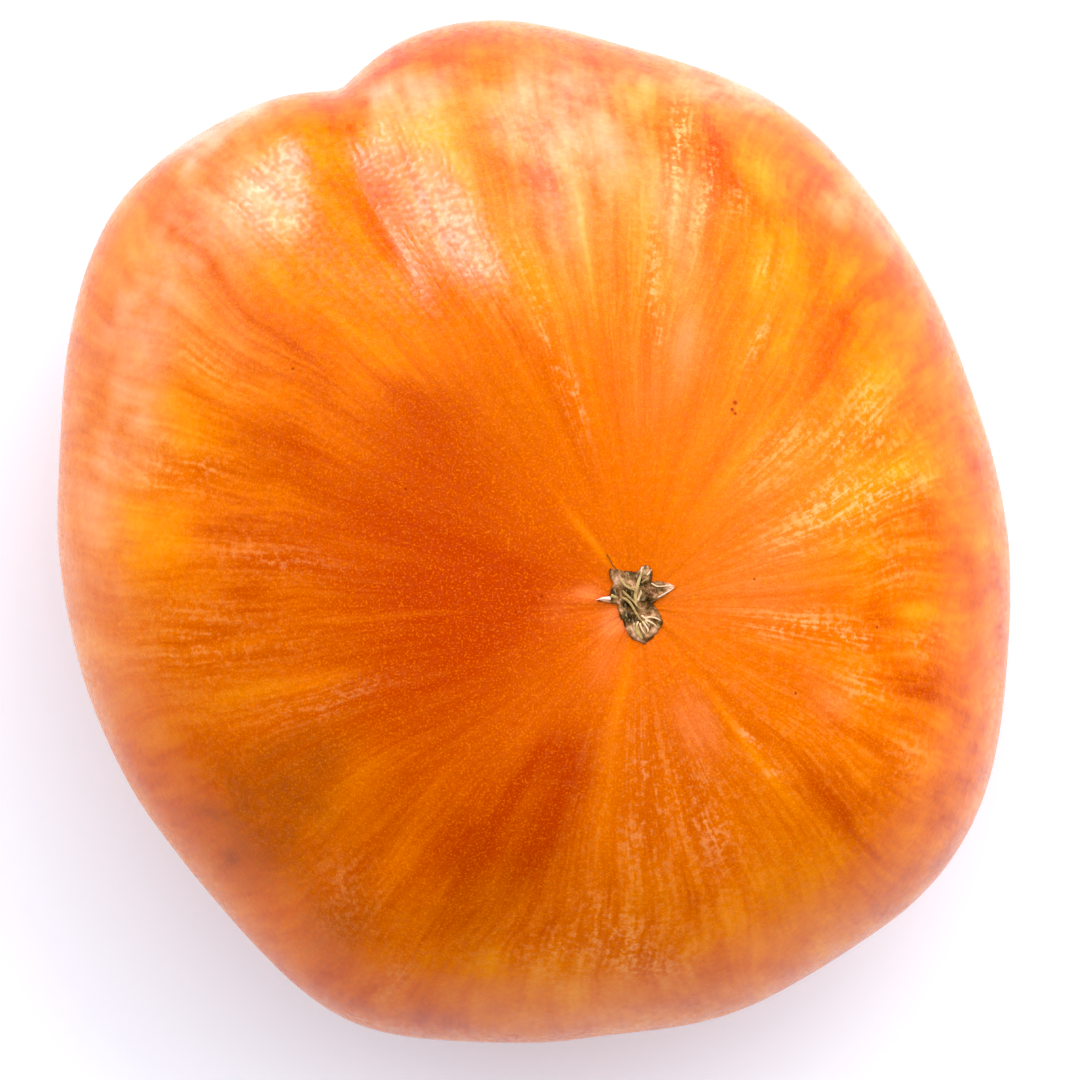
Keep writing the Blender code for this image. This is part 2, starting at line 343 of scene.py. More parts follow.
markings = {
    "tone": (
        (17.9, 43.2, 2.6, 0.9, -0.2), (18.8, 38.8, 3, 1.7, -0.27), (20.3, 35.7, 1.4, 0.9, -0.2),
        (10.9, 44.9, 1, 2.2, 0.19), (23.7, 35.9, 2.6, 1.2, 0.12), (26.4, 33.1, 2.4, 0.9, -0.18),
        (30.6, 30.9, 2.8, 1.2, -0.16), (20.3, 25.6, 4, 0.4, 0.17), (-0.2, 25.4, 4.2, 1.6, 0.14),
        (4.4, 20.5, 1.8, 1, -0.09), (7.3, 45.6, 1, 1.4, -0.09), (12.8, 32.1, 1.6, 3, 0.06),
        (6.7, 28.4, 6.1, 2.5, 0.04), (0, -49, 4, 22, 0.12), (29.6, 18.9, 5.3, 2.4, -0.23),
        (30.3, 15.8, 1.4, 1.8, -0.11), (32.2, 26.2, 2.6, 0.6, 0.25), (35.8, 14.2, 2.6, 2, 0.28),
        (23.8, 10.6, 9.6, 0.7, 0.23), (37.1, 6.7, 6.1, 1.6, 0.19), (40.5, 1.8, 2.4, 2.4, -0.12),
        (39.3, 11.1, 1.2, 1.6, -0.05), (38.7, 21.7, 2.4, 1.8, 0.11), (39.8, -8.1, 2.6, 1.4, 0.28),
        (39.9, -3.5, 1.4, 2, 0.11), (35.1, -8.9, 2.6, 1.1, -0.14), (37.8, -15.8, 2.6, 1.4, -0.11),
        (33.7, -21, 3.4, 1.6, -0.12), (30.4, -28.2, 4, 2, -0.18), (17.6, -34.6, 5.6, 2.8, -0.16),
        (15.9, -37.5, 1.8, 1, -0.15), (20.8, -20.6, 6.1, 0.5, 0.3), (25.9, -27.3, 4, 0.6, 0.2),
        (13.5, -17.5, 7.1, 4.2, -0.05), (40.5, -21.4, 3, 4, 0.08), (-1.6, -26, 8, 1.3, -0.28),
        (1.8, -29, 8, 1.6, -0.3), (4.2, -27, 5, 1, -0.12), (2.6, -23.1, 4, 2.2, -0.25),
        (-6.5, -34.2, 6.1, 2.2, -0.25), (-3.9, -44.5, 2.4, 1.2, 0.3), (-13.2, -33.4, 5.1, 1.4, 0.22),
        (7.9, -25.1, 7.1, 1.2, 0.12), (8.8, -16, 4.5, 0.6, 0.2), (11.3, -37.5, 6.1, 4, 0.08),
        (-23.7, -7, 9.1, 12.1, -0.12), (-9.4, -3, 13.1, 11.1, -0.3), (-3.4, -7, 9.1, 8.1, -0.22),
        (-13.5, 5.1, 6.1, 7.1, -0.12), (-10.5, -16.1, 9.1, 7.1, -0.2), (-19.6, -17.1, 7.1, 4, -0.1),
        (-37.9, 12.3, 6.1, 3.4, 0.35), (-38.8, 0.1, 4, 5.6, 0.28), (-29.3, -11.3, 4, 0.6, 0.2),
        (-26.8, -16.2, 7.1, 0.8, 0.2), (-20.6, -14.7, 4, 0.8, 0.15), (-23.7, 8.2, 6.1, 3, -0.12),
        (-30.4, 3.1, 6.1, 1.6, 0.1), (-41.2, -3, 1.8, 1, 0.2), (-23.2, 28.8, 2, 1.2, -0.2),
        (-16.9, 33.3, 3.4, 2.2, -0.18), (-26.4, 25.7, 3, 2.2, 0.25), (-39.3, 28.5, 2.4, 2, 0.14),
        (-20, 40.6, 1.6, 2.6, -0.11), (-12.2, 41.6, 2.4, 3.4, 0.33), (-16, 43.7, 0.8, 0.9, 0.33),
        (-29.9, 43.1, 1, 1.4, 0.19), (-34.1, 39.4, 0.8, 1.2, 0.19), (-7.7, 36.8, 3.6, 0.7, 0.28),
        (-4.5, 42, 1.2, 1.2, -0.14), (-3.4, 37.8, 1, 1.6, -0.11), (-6.6, 48.6, 1.8, 1.6, 0.22),
        (-8.5, 18.2, 9.1, 2.6, -0.05), (-17.6, 20.3, 7.1, 1.8, 0.2), (-40.4, 17.8, 1, 1.2, 0.3),
        (5.7, -0.9, 4.8, 0.5, 0.3), (-11.5, 11.2, 8.1, 4, -0.15), (-13.5, -8.6, 8.5, 0.25, 0.3),
        (36, 4, 14, 20, 0.14), (10, 34, 14, 18, 0.12), (26, -36, 8, 12, 0.2), (-9, 38, 6, 1.6, 0.22),
        (-15, 44, 3, 2, 0.2), (-34, 30, 10, 14, 0.18), (-44, 0, 8, 20, 0.2), (28, 26, 12, 12, 0.08),
        (-9.5, -28, 10, 9, -0.2), (-3, -32, 12, 8, -0.12), (-28, -2, 12, 14, -0.04),
        (-20, -22, 12, 10, 0.04), (-36, -14, 10, 12, 0.08), (-45, 24.5, 3, 4, 0.3), (5, -47, 4, 14, 0.16),
        (25, -40, 5, 10, 0.1),
    ),
    "coral": (
        (10.7, 13.2, 5.1, 3.4, 0.35), (29.1, -16.3, 3.2, 2.4, 0.5), (16.7, -20.6, 4.4, 2, 0.5),
        (8.3, -9.8, 1.2, 1, 0.9), (7.4, 38.9, 4, 3, 0.5), (14.8, 20.3, 6.1, 2.6, 0.3),
        (15.7, -7, 3, 2, 0.2), (-37.8, -17.4, 5.1, 4, 0.3), (6.7, -13.5, 2.4, 1.4, 0.35),
        (-8.5, 28.5, 4, 2, 0.3), (5.6, -6.6, 1.4, 0.8, 0.8), (7.9, -9.7, 2.2, 1.6, 0.5),
        (-42.7, 23.8, 1, 2, 0.3), (41, 20.8, 1.4, 2, 0.3), (2.6, -8, 3, 1.8, 0.25),
    ),
    # painted shade: the skin is darker and browner towards the lower left, where less light falls; the two
    # smallest patches are the skin's own dark spots
    "shade": (
        (-28.6, -30.6, 8.1, 7.1, 0.5), (-33.3, -28.9, 1.6, 1, 0.5), (-31, -33.7, 0.7, 0.6, 0.45),
        (-20.9, -40.9, 6.1, 5.1, 0.35), (-23.7, -23.3, 6.1, 4, 0.3), (-3.4, -37.5, 9.1, 6.1, 0.25),
        (-32, -14, 16, 14, 0.26), (-14, -34, 14, 12, 0.2),
    ),
    # pale patches: partly the skin's own pale colour, partly painted highlights where the window shines on
    # the upper left shoulder, and painted reflection of the floor along the left rim
    "paleAndSheen": (
        (2.7, 44.2, 5, 8, 0.5), (-12.5, 45.3, 3, 5, 0.5), (-16, 44.5, 1.2, 1.2, 0.6),
        (-30, 43.5, 2, 3, 0.6), (-34.5, 40, 2, 3, 0.6), (-29, 37, 3.5, 4, 0.25), (-9.9, 36, 5, 5, 0.2),
        (3, 32, 7, 8, 0.22), (9, 38, 5, 5, 0.2), (14.7, 32, 6, 4, 0.24), (15.3, 21, 9, 4, 0.14),
        (26, 5.3, 10, 6, 0.10), (24, -5, 9, 5, 0.12), (33, 33, 3, 8, 0.3), (20, 45, 3, 6, 0.4),
        (-40, 24, 5, 9, 0.32), (-43, 8, 4, 14, 0.42), (-42, -12, 4, 8, 0.2), (-31, 20, 6, 6, 0.14),
        (-33, 31, 6, 5, 0.3),
    ),
    "fleck": (
        (15, 39, 7, 0.8, 1.2), (17.5, 34, 5, 0.7, 1.0), (20.5, 33.7, 1.4, 1, 0.6),
        (12, 26.4, 6.1, 0.5, 0.8), (12.7, 20.3, 2.4, 0.6, 0.7), (22.6, 19.7, 2.6, 0.7, 0.8),
        (1.1, 21.3, 9.1, 0.8, 0.7), (4.5, 13.2, 3, 0.6, 0.6), (24, 26.5, 1.6, 1.2, 0.7),
        (34.2, 11.3, 2.6, 2.8, 0.8), (30.6, 8.2, 1.6, 1.6, 0.7), (32, 2.6, 9.1, 2.2, 0.9),
        (25.9, 8.1, 4, 2, 0.5), (25.8, -9, 5.1, 1.4, 0.8), (32, -11.1, 2.6, 1, 0.7),
        (33, -16.1, 2.4, 1.6, 0.5), (39.9, -11.1, 2, 1.4, 0.5), (21.8, -21.1, 1.2, 0.5, 1),
        (24.1, -24.2, 0.8, 0.5, 1), (17.3, -29.2, 5.1, 2.4, 0.5), (11.2, -27.2, 7.1, 1.8, 0.5),
        (8.8, -41.2, 3, 2.6, 0.8), (11.9, -43.9, 2.4, 3, 0.5), (2.7, -43.8, 3, 2.6, 0.4),
        (-35.3, 6.4, 4, 2, 0.9), (-39.3, 6.2, 2, 2, 0.5), (-26.7, -3, 6.1, 1.6, 0.4),
        (-34, -11.1, 6.1, 3, 0.4), (-20.6, -17.1, 6.1, 1.4, 0.4), (-15.6, -46.7, 2.6, 1.4, 0.7),
        (-18.8, -37.7, 4, 3, 0.35), (-4.4, 26.4, 4, 2, 0.5), (-10, 29.5, 3, 2.4, 0.5),
        (-24.9, 31.2, 2, 2.4, 0.6), (-34, 17.4, 4, 1.4, 0.5), (37.2, -3, 3, 2, 0.4),
        (37.8, -23.4, 3, 2, 0.3), (-30.1, 43.1, 1.2, 1.2, 0.5), (-10.7, 43.2, 2, 2, 0.4),
        (13, -31, 14, 10, 0.18), (26, -18, 10, 9, 0.12), (32, 4, 8, 10, 0.1), (10, 30, 12, 12, 0.1),
        (-30, -14, 12, 14, 0.07), (-34, 14, 8, 10, 0.07), (8, -45, 4, 12, 0.25),
    ),
    "warps": ((7 * mm, 2.0), (2.5 * mm, 0.7)),  # how far a patch's edge wanders, in mm
    "steady": 2.5,  # a patch narrower than this, in mm, wanders less
    "marbling": ((6, 2.2, 0.24), (13, 5, 0.16)),  # size across and along the grain, and strength
    "marblingShift": 5,  # where the marbling's noise is cut
    "sideLine": (98, 4),  # colatitude where the markings from above give way to the seeded ones
    "seed": 7,  # for the patches below and for the warps
    "patchesBelow": 70,
    "belowWhere": (84, 160),  # the seeded patches' colatitudes
    "belowSize": ((2, 6), (3, 12)),  # width in degrees of azimuth and length in degrees of colatitude
    "belowStrengths": (-0.45, -0.25, 0.25, 0.4),
    "busySide": (0.8, 9 * mm),  # the marbling grows from the lower left to the upper right
    "calm": 0.6,  # share of the marbling on the calm side
    "poleCalm": (6, 30),  # colatitude where the marbling starts, and its reach
    "rimBand": (88, 10),  # the paler ring round the widest level, a painted reflection of the bright floor: colatitude and spread
    "rimCalm": 0.6,  # how much of the marbling the ring takes away
    # painted reflection: the ring is made lighter and more golden
    "rimReflectionTone": 0.22,
    "belowTone": 0.12,
    "belowRim": 0.35,  # share of the pale ring where those patches don't reach
    "rimEdge": (46, 0.04),  # the painted reflection on the ring fades towards the front, y in mm and the least share
    "stemBand": (118, 50),  # colatitude where the stem end's colour starts, and its reach
}


def patchesOnTop(name, points, warp):
    total = np.zeros(len(points))
    scar = np.array(skin["blossomEnd"]) / mm
    for x, y, along, across, strength in markings[name]:
        ray = np.array((x, y)) - scar
        ray /= np.linalg.norm(ray)
        away = points + warp * min(1, across / markings["steady"]) - (x, y)
        a = away @ ray / along
        b = (away[:, 1] * ray[0] - away[:, 0] * ray[1]) / across
        total += strength * np.exp(-a * a - b * b)
    return total


def patchesBelow(azimuth, colatitude):
    dice = np.random.default_rng(markings["seed"])
    total = np.zeros(len(azimuth))
    widths, lengths = markings["belowSize"]
    for _ in range(markings["patchesBelow"]):
        turn, drop = dice.uniform(-180, 180), dice.uniform(*markings["belowWhere"])
        wide, long = dice.uniform(*widths), dice.uniform(*lengths)
        strength = dice.choice(markings["belowStrengths"]) * dice.uniform(0.5, 1)
        aside = (azimuth - turn + 180) % 360 - 180
        total += strength * np.exp(-(aside / wide) ** 2 - ((colatitude - drop) / long) ** 2)
    return total


def paintSkin(data):
    count = len(data.vertices)
    places, grain = np.empty(count * 3, np.float32), np.empty(count * 3, np.float32)
    data.vertices.foreach_get("co", places)
    data.attributes["grain"].data.foreach_get("vector", grain)
    places, grain = places.reshape(-1, 3), grain.reshape(-1, 3)
    colatitude = grain[:, 2] * skin["grainUnit"]
    azimuth = np.degrees(np.arctan2(places[:, 1], places[:, 0]))
    middle, spread = markings["sideLine"]
    onTop = 1 / (1 + np.exp((colatitude - middle) / spread))
    plan = places[:, :2] / mm
    warp, marbling = np.zeros((count, 2)), np.zeros(count)
    noise.seed_set(markings["seed"])  # else noise_vector differs in each run
    for index, point in enumerate(places):
        point = Vector(point)
        for size, reach in markings["warps"]:
            warp[index] += np.array(noise.noise_vector(point / size).xy) * reach
        x, y, z = grain[index]
        for across, along, strength in markings["marbling"]:
            spot = Vector((x * across, y * across, z * along + markings["marblingShift"]))
            marbling[index] += strength * noise.noise(spot)
    for name in ("coral", "shade", "paleAndSheen", "fleck"):
        paintOn(data, name, patchesOnTop(name, plan, warp) * onTop)
    slope, spread = markings["busySide"]
    busy = 1 / (1 + np.exp(-(places[:, 0] + slope * places[:, 1]) / spread))
    busy = onTop * busy + (1 - onTop)
    middle, spread = markings["rimBand"]
    rim = np.exp(-((colatitude - middle) / spread) ** 2)
    low, reach = markings["poleCalm"]
    marbling *= np.clip((colatitude - low) / reach, 0, 1) * (1 - markings["rimCalm"] * rim * onTop)
    marbling *= markings["calm"] + (1 - markings["calm"]) * busy
    tone = patchesOnTop("tone", plan, warp) * onTop + patchesBelow(azimuth, colatitude) * (1 - onTop)
    # the ring round the widest level is painted lighter, as a reflection of the floor
    tone += marbling + markings["belowTone"] * (1 - onTop) + markings["rimReflectionTone"] * rim
    front, least = markings["rimEdge"]
    shown = markings["belowRim"] + (1 - markings["belowRim"]) * onTop
    low, reach = markings["stemBand"]
    paintOn(data, "tone", tone)
    # the rim attribute carries the painted reflection round the widest level
    paintOn(data, "rim", rim * shown * np.clip((places[:, 1] / mm + front) / front, least, 1))
    paintOn(data, "busy", busy)
    paintOn(data, "stemward", np.clip((colatitude - low) / reach, 0, 1))
    print("markings painted")


skinFinish = {
    "noises": {  # scale, detail and roughness
        "cloud": (190.0, 3.0, 0.62), "lace": (1400.0, 2.0, 0.62), "speck": (5200.0, 0.0, 0.5),
        "grit": (1500.0, 0.0, 0.5),
    },
    "streaks": {  # stretch round the fruit and down it, shift, detail and roughness
        "streak": ((20, 20, 2.2), 3.1, 2.0, 0.6), "hair": ((90, 90, 6), 7.7, 0.0, 0.5),
    },
    "swings": {  # how far each moves the tone: where that grows, and from what to what
        "cloud": (0.5, 1.6, 0.10, 1.0), "streak": (0.1, 1.2, 0.16, 0.66), "hair": (0.1, 0.9, 0.04, 0.24),
        "lace": (0.2, 1.4, 0.06, 0.34),
    },
    "calmClouds": 0.5,  # share of the clouds on the calm side
    "rimStreaks": -0.25,  # the streaks are weaker on the pale ring
    "middleTone": 0.45,  # the tone of plain skin
    "wander": 1.6,  # how far the patterns break up the patches' edges
    # painted reflection of the floor on the pale ring
    "rimReflection": 0.24,
    "mostPaleAndSheen": 0.75,
    "stemEdge": (0.3, 0.6),  # the streaks break the stem end's green
    "fleckRows": (("streak", 0.5), ("hair", 0.4)),  # how far these draw the flecks into rows
    "fleckEdge": (0.44, 0.72),
    "fleckShares": (0.5, 0.72),  # on the calm side and on the busy side
    "speckEdge": (0.55, 0.80, 0.0, 0.24),
    "freckleEdge": (0.5, 1.6, 0.85, 0.0),
    "fineShade": 0.30,  # how far the specks change the colour
    "roughness": (0.3, 0.7, 0.18, 0.32),  # from and to in the pattern, then in roughness
    "specular": 0.11,
    "hairBump": (0.12, 0.12 * mm),  # strength and height
    "gritBump": (0.30, 0.08 * mm),
    "tones": (
        (0.0, (0.46, 0.041, 0.0002)), (0.25, (0.55, 0.078, 0.0003)), (0.5, (0.70, 0.138, 0.0005)),
        (0.75, (0.80, 0.205, 0.001)), (1.0, (0.87, 0.28, 0.003)),
    ),
    "coral": (0.80, 0.180, 0.040, 1),
    # colour of the painted shade
    "shade": (0.40, 0.070, 0.004, 1),
    "pale": (0.90, 0.44, 0.18, 1),
    # colour of the pale skin and of the painted highlights and reflections
    "paleAndSheen": (0.92, 0.50, 0.35, 1),
    "speck": (0.88, 0.30, 0.004, 1),
    "stem": (0.60, 0.36, 0.025, 1),
    "freckle": (0.26, 0.022, 0.002, 1),
    "freckles": (  # x, y and radius in mm
        (20.3, 12.9, 0.22), (20.0, 12.2, 0.19), (20.3, 11.8, 0.17), (-24.4, 16.4, 0.15), (-12.9, 4.2, 0.13),
        (0.8, -6.6, 0.14), (-1.8, -8.2, 0.12), (34.8, -9.8, 0.15), (22.2, -4.9, 0.12), (26.4, -16.4, 0.14),
    ),
}


def marbledTone(tree, patterns, grain, busy):
    down = add(tree, "ShaderNodeSeparateXYZ", {0: grain}).outputs[2]
    amounts = {name: between(tree, down, *growth) for name, growth in skinFinish["swings"].items()}
    calm = between(tree, busy, 0, 1, skinFinish["calmClouds"], 1.0)
    amounts["cloud"] = sums(tree, "MULTIPLY", amounts["cloud"], calm)
    rim = painted(tree, "rim")
    amounts["streak"] = sums(tree, "MULTIPLY_ADD", rim, skinFinish["rimStreaks"], amounts["streak"])
    tone = sums(tree, "ADD", painted(tree, "tone"), skinFinish["middleTone"])
    for name, amount in amounts.items():
        tone = sums(tree, "ADD", tone, swing(tree, patterns[name], amount))
    return tone


def patched(tree, colour, patterns):
    streak, cloud = (swing(tree, patterns[name], skinFinish["wander"]) for name in ("streak", "cloud"))
    broken = sums(tree, "ADD", sums(tree, "ADD", streak, cloud), 1.0)
    # the pale patches carry painted highlights, and the pale ring adds a painted reflection of the floor
    paleAndSheen = sums(tree, "MULTIPLY_ADD", painted(tree, "rim"), skinFinish["rimReflection"], painted(tree, "paleAndSheen"))
    # the shade patches are painted shade on the lower left
    patches = (
        ("coral", painted(tree, "coral"), 1.0), ("shade", painted(tree, "shade"), 1.0),
        ("paleAndSheen", paleAndSheen, skinFinish["mostPaleAndSheen"]),
    )
    for name, strength, most in patches:
        edge = sums(tree, "MULTIPLY", strength, broken)
        colour = blend(tree, between(tree, edge, 0.0, 1.0, 0.0, most), colour, skinFinish[name])
    stem = between(tree, patterns["streak"], *skinFinish["stemEdge"])
    return blend(tree, sums(tree, "MULTIPLY", painted(tree, "stemward"), stem), colour, skinFinish["stem"])


def flecked(tree, colour, patterns, busy):
    rows = (swing(tree, patterns[name], amount) for name, amount in skinFinish["fleckRows"])
    flecks = sums(tree, "ADD", patterns["lace"], sums(tree, "ADD", *rows))
    flecks = between(tree, flecks, *skinFinish["fleckEdge"])
    pale = sums(tree, "MULTIPLY", flecks, painted(tree, "fleck"))
    pale = sums(tree, "MULTIPLY", pale, between(tree, busy, 0, 1, *skinFinish["fleckShares"]))
    colour = blend(tree, pale, colour, skinFinish["pale"])
    specks = between(tree, patterns["speck"], *skinFinish["speckEdge"])
    return blend(tree, specks, colour, skinFinish["speck"])


def freckled(tree, colour, place):
    spots = None
    for x, y, radius in skinFinish["freckles"]:
        centre = onSkin(x * mm, y * mm)
        away = add(tree, "ShaderNodeVectorMath", {0: place, 1: centre}, operation="DISTANCE").outputs[1]
        away = sums(tree, "DIVIDE", away, radius * mm)
        spots = away if spots is None else sums(tree, "MINIMUM", spots, away)
    return blend(tree, between(tree, spots, *skinFinish["freckleEdge"]), colour, skinFinish["freckle"])


def tomatoSkin():
    look, tree, shader = newLook("tomatoSkin")
    place = add(tree, "ShaderNodeTexCoord").outputs["Object"]
    grain, busy = painted(tree, "grain", "Vector"), painted(tree, "busy")
    patterns = {name: noisy(tree, place, *how) for name, how in skinFinish["noises"].items()}
    for name, how in skinFinish["streaks"].items():
        patterns[name] = streaked(tree, grain, *how)
    colour = ramp(tree, marbledTone(tree, patterns, grain, busy), skinFinish["tones"])
    colour = patched(tree, colour, patterns)
    colour = flecked(tree, colour, patterns, busy)
    colour = freckled(tree, colour, place)
    shade = skinFinish["fineShade"]
    fine = sums(tree, "MULTIPLY_ADD", patterns["speck"], shade, 1 - shade / 2)
    grey = add(tree, "ShaderNodeCombineColor", {0: fine, 1: fine, 2: fine}).outputs[0]
    colour = blend(tree, 1.0, colour, grey, "MULTIPLY")
    roughness = between(tree, patterns["grit"], *skinFinish["roughness"])
    hairs = bumped(tree, patterns["hair"], *skinFinish["hairBump"])
    normal = bumped(tree, patterns["grit"], *skinFinish["gritBump"], hairs)
    coat(tree, shader, colour, roughness, skinFinish["specular"], normal)
    return look


skinPiece, skinTree = makeSkin()
paintSkin(skinPiece.data)
finished(skinPiece, tomatoSkin(), "skin", "fruit")


# a thin crust that lies on the skin, above it (facing 1) or below it (facing -1)

def seatedCrust(name, centre, facing, settings, radiusAt, riseAt):
    mesh = shellGrid(settings["around"], settings["along"])
    shares = mesh.verts.layers.float.new("share")
    for vert in mesh.verts:
        turn = math.pi * vert.co.x
        share = 1 - abs(vert.co.y)
        plan = centre + Vector((math.cos(turn), math.sin(turn))) * radiusAt(turn, share) * share
        seat = onSkin(plan.x, plan.y, facing)
        rise = 0
        if vert.co.y > 0:
            rise = riseAt(plan - centre, share)
        elif vert.co.y < 0:
            rise = -settings["sink"]
        vert.co = seat + up * facing * rise
        vert[shares] = share
    bmesh.ops.remove_doubles(mesh, verts=mesh.verts, dist=weldDistance)
    tree = BVHTree.FromBMesh(mesh)
    return toObject(mesh, name), tree


# the dried flower on the blossom end

flower = {
    "outline": (  # mm from the middle, counter-clockwise
        (3.77, 1.61), (1.50, 2.08), (1.54, 3.31), (0.96, 3.73), (0.42, 3.54), (-0.04, 3.0), (-0.81, 3.15),
        (-1.42, 3.15), (-2.65, 3.31), (-2.85, 2.85), (-2.42, 1.92), (-2.73, 1.0), (-2.88, 0.62),
        (-4.19, 0.23), (-2.81, -0.08), (-1.96, -0.23), (-1.88, -0.85), (-1.42, -1.92), (-0.96, -3.0),
        (-0.81, -3.46), (0.27, -4.0), (0.81, -4.31), (1.19, -3.85), (1.96, -3.15), (2.58, -2.08),
        (2.35, -1.31), (1.88, -0.54), (1.65, -0.15), (2.11, 0.31), (2.96, 0.77),
    ),
    "around": 220,
    "along": 60,
    "ragged": ((9, 0.12 * mm), (26, 0.10 * mm)),  # how often the edge turns, and how deep
    "raggedSlice": 0.5,  # where the edge's noise is cut
    "rise": 0.34 * mm,
    "rimRise": 0.22 * mm,
    "rimFrom": (0.7, 0.92),  # share of the way out over which the rim curls up
    "leastRise": 0.02 * mm,
    "sink": 0.12 * mm,
    "hollows": (  # x, y, reach and depth in mm
        (-1.42, -0.15, 0.7, 0.22), (0.65, 0.0, 0.6, 0.2), (1.96, -1.92, 0.5, 0.2),
    ),
    "wrinkles": ((0.9 * mm, 0.16 * mm), (0.38 * mm, 0.10 * mm), (0.16 * mm, 0.04 * mm)),  # size and height
    "wrinkleSlice": 2,
    "squareness": 8,  # how steep the edge is
    "tint": 0.42,  # how light the crust is
    "tints": (  # x, y and reach in mm, lighter above nothing and darker below
        (0.87, 3.3, 0.6, 0.25), (2.9, 1.45, 0.8, 0.40), (2.2, -1.7, 0.9, 0.24), (0.3, -3.3, 0.9, 0.3),
        (-0.4, -2.6, 0.5, 0.2), (-2.1, 2.2, 0.7, 0.3), (-3.5, 0.2, 0.9, 0.55), (1.2, -1.6, 0.6, 0.15),
        (-1.1, -0.2, 0.7, -0.32), (1.3, 1.0, 0.5, -0.22), (-0.9, -1.5, 0.6, -0.28), (0.9, 0.25, 0.5, -0.3),
        (-2.0, 3.1, 0.4, -0.2), (1.4, 0.2, 0.4, -0.2), (-2.6, 0.9, 0.4, -0.15), (0.6, 1.9, 0.4, -0.15),
    ),
    "blotch": (1100.0, 3.0, 0.62),  # scale, detail and roughness
    "fibre": ((3800, 2200, 3000), 0.0, 3.0, 0.65),  # stretch, shift, detail and roughness
    "patch": ((700, 700, 700), 4.0, 2.0, 0.5),
    "blotching": 2.4,  # how far the blotches move the tint
    "tones": (
        (0.0, (0.026, 0.015, 0.004)), (0.25, (0.085, 0.044, 0.012)), (0.5, (0.25, 0.12, 0.042)),
        (0.75, (0.50, 0.26, 0.13)), (1.0, (0.84, 0.52, 0.38)),
    ),
    "layers": (  # pattern, where its edge starts and ends, its strength at each, and its colour
        ("patch", 0.56, 0.66, 0.0, 0.5, (0.14, 0.028, 0.014, 1)),
        ("patch", 0.34, 0.46, 0.4, 0.0, (0.16, 0.12, 0.03, 1)),
        ("fibre", 0.54, 0.72, 0.0, 0.5, (0.66, 0.48, 0.32, 1)),
        ("fibre", 0.28, 0.42, 0.6, 0.0, (0.035, 0.018, 0.008, 1)),
    ),
    "rimEdge": (0.90, 0.99),
    "rimBlotch": (0.40, 0.60, 0.8, 0.1),
    "rimColour": (0.10, 0.030, 0.010, 1),
    "roughness": (0.3, 0.7, 0.60, 0.92),
    "specular": 0.1,
    "blotchBump": (0.4, 0.10 * mm),  # strength and height
    "fibreBump": (0.6, 0.05 * mm),
}


def flowerRadius(turn, share):
    angles, reaches = zip(*sorted((math.atan2(y, x), math.hypot(x, y)) for x, y in flower["outline"]))
    reach = np.interp(turn, angles, reaches, period=2 * math.pi) * mm
    for often, depth in flower["ragged"]:
        edge = Vector((math.cos(turn), math.sin(turn), flower["raggedSlice"])) * often
        reach += depth * share * noise.noise(edge)
    return reach


def flowerRise(plan, share):
    rise = flower["rise"] + flower["rimRise"] * fade(share, *flower["rimFrom"])
    rise -= mounds(plan, flower["hollows"]) * mm
    for size, height in flower["wrinkles"]:
        rise += height * noise.noise(Vector((plan.x / size, plan.y / size, flower["wrinkleSlice"])))
    return max(flower["leastRise"], rise) * math.sqrt(max(0, 1 - share ** flower["squareness"]))


def paintFlower(data):
    tints = (mounds(vert.co.xy - flowerCentre, flower["tints"]) for vert in data.vertices)
    paintOn(data, "tint", [flower["tint"] + tint for tint in tints])


def driedFlower():
    look, tree, shader = newLook("driedFlower")
    place = add(tree, "ShaderNodeTexCoord").outputs["Object"]
    blotch = noisy(tree, place, *flower["blotch"])
    patterns = {name: streaked(tree, place, *flower[name]) for name in ("fibre", "patch")}
    tint = sums(tree, "ADD", painted(tree, "tint"), swing(tree, blotch, flower["blotching"]))
    colour = layered(tree, ramp(tree, tint, flower["tones"]), patterns, flower["layers"])
    rim = between(tree, painted(tree, "share"), *flower["rimEdge"])
    rim = sums(tree, "MULTIPLY", rim, between(tree, blotch, *flower["rimBlotch"]))
    colour = blend(tree, rim, colour, flower["rimColour"])
    roughness = between(tree, patterns["fibre"], *flower["roughness"])
    ridges = bumped(tree, blotch, *flower["blotchBump"])
    normal = bumped(tree, patterns["fibre"], *flower["fibreBump"], ridges)
    coat(tree, shader, colour, roughness, flower["specular"], normal)
    return look


flowerCentre = skin["blossomEnd"]
flowerPiece, flowerTree = seatedCrust("dried_flower", flowerCentre, 1, flower, flowerRadius, flowerRise)
paintFlower(flowerPiece.data)
finished(flowerPiece, driedFlower(), "dried_flower", "blossom_scar")


# the flower's veins and curled strips

